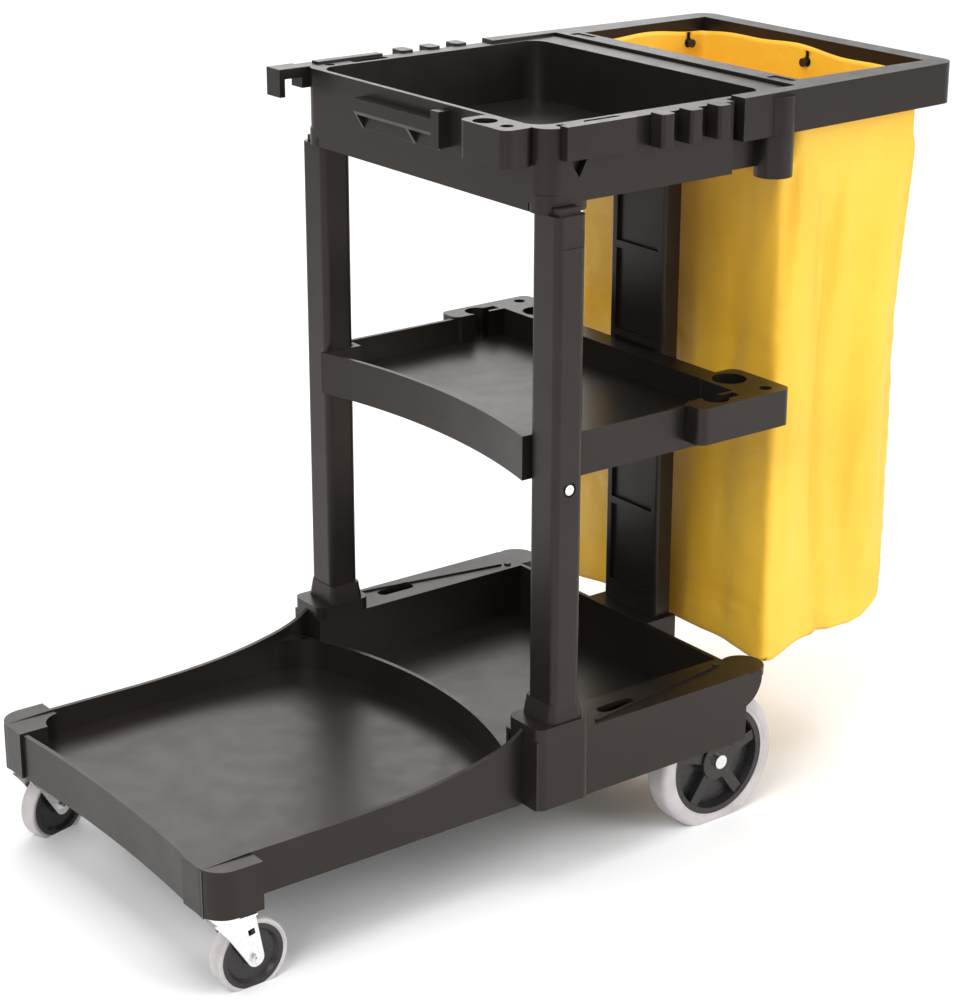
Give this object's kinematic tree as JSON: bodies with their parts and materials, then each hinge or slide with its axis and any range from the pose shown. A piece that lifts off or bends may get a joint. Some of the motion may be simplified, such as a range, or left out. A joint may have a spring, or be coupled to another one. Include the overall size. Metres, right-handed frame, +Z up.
{
  "type": "housekeeping cart",
  "caption": "Moulded housekeeping cart with a low front deck, shelf, top tray, swivel casters, large rear wheels and a hung waste bag with zip.",
  "frame": {"origin": "on the floor under the centre of the bounding box", "axes": "+X runs from the nose towards the bag and handle end, +Y to the right-hand side seen from the handle end, +Z up"},
  "size_m": [1.168, 0.552, 0.975],
  "materials": {
    "moulded_plastic": "satin, fine moulded texture",
    "hub_plastic": "gloss",
    "bag_vinyl": "coated vinyl, slight sheen",
    "tyre_grey": "soft satin, slightly translucent",
    "zinc_steel": "bright zinc plate",
    "bright_steel": "polished"
  },
  "bodies": {
    "cart": {"base_platform": "moulded_plastic", "front_upright_left": "moulded_plastic", "front_upright_right": "moulded_plastic", "rear_post": "moulded_plastic", "middle_shelf": "moulded_plastic", "top_tray": "moulded_plastic", "bag_frame": "moulded_plastic", "bag_studs": "hub_plastic", "bag": "bag_vinyl", "bag_hem": "bag_vinyl", "zip_tape": "bag_vinyl", "rear_axle": "zinc_steel", "axle_caps": "bright_steel", "axle_washers": "zinc_steel", "caster_mount_left": "zinc_steel", "caster_mount_right": "zinc_steel", "shelf_bolts": "bright_steel", "ledge_rivets": "hub_plastic"},
    "zipper": {"zip_slider": "bright_steel", "zip_pull": "bright_steel"},
    "rear_wheel_left": {"rear_hub_left": "hub_plastic", "rear_tyre_left": "tyre_grey", "rear_bushing_left": "zinc_steel"},
    "caster_left": {"caster_fork_left": "zinc_steel", "caster_axle_left": "bright_steel"},
    "caster_wheel_left": {"caster_core_left": "hub_plastic", "caster_tyre_left": "tyre_grey"},
    "rear_wheel_right": {"rear_hub_right": "hub_plastic", "rear_tyre_right": "tyre_grey", "rear_bushing_right": "zinc_steel"},
    "caster_right": {"caster_fork_right": "zinc_steel", "caster_axle_right": "bright_steel"},
    "caster_wheel_right": {"caster_core_right": "hub_plastic", "caster_tyre_right": "tyre_grey"}
  },
  "joints": [
    {"name": "zip_slide", "type": "slide", "parent": "cart", "child": "zipper", "axis": [0, 0, 1], "range_m": [-0.052, 0.558]},
    {"name": "rear_roll_left", "type": "hinge", "parent": "cart", "child": "rear_wheel_left", "pos_m": [0.197, -0.24, 0.095], "axis": [0, 1, 0], "continuous": true},
    {"name": "caster_swivel_left", "type": "hinge", "parent": "cart", "child": "caster_left", "pos_m": [-0.55, -0.236, 0.108], "axis": [0, 0, 1], "continuous": true},
    {"name": "caster_roll_left", "type": "hinge", "parent": "caster_left", "child": "caster_wheel_left", "pos_m": [-0.52, -0.236, 0.0475], "axis": [0, 1, 0], "continuous": true},
    {"name": "rear_roll_right", "type": "hinge", "parent": "cart", "child": "rear_wheel_right", "pos_m": [0.197, 0.24, 0.095], "axis": [0, 1, 0], "continuous": true},
    {"name": "caster_swivel_right", "type": "hinge", "parent": "cart", "child": "caster_right", "pos_m": [-0.55, 0.236, 0.108], "axis": [0, 0, 1], "continuous": true},
    {"name": "caster_roll_right", "type": "hinge", "parent": "caster_right", "child": "caster_wheel_right", "pos_m": [-0.52089, 0.24326, 0.0475], "axis": [-0.2419, 0.9703, 0], "continuous": true}
  ]
}
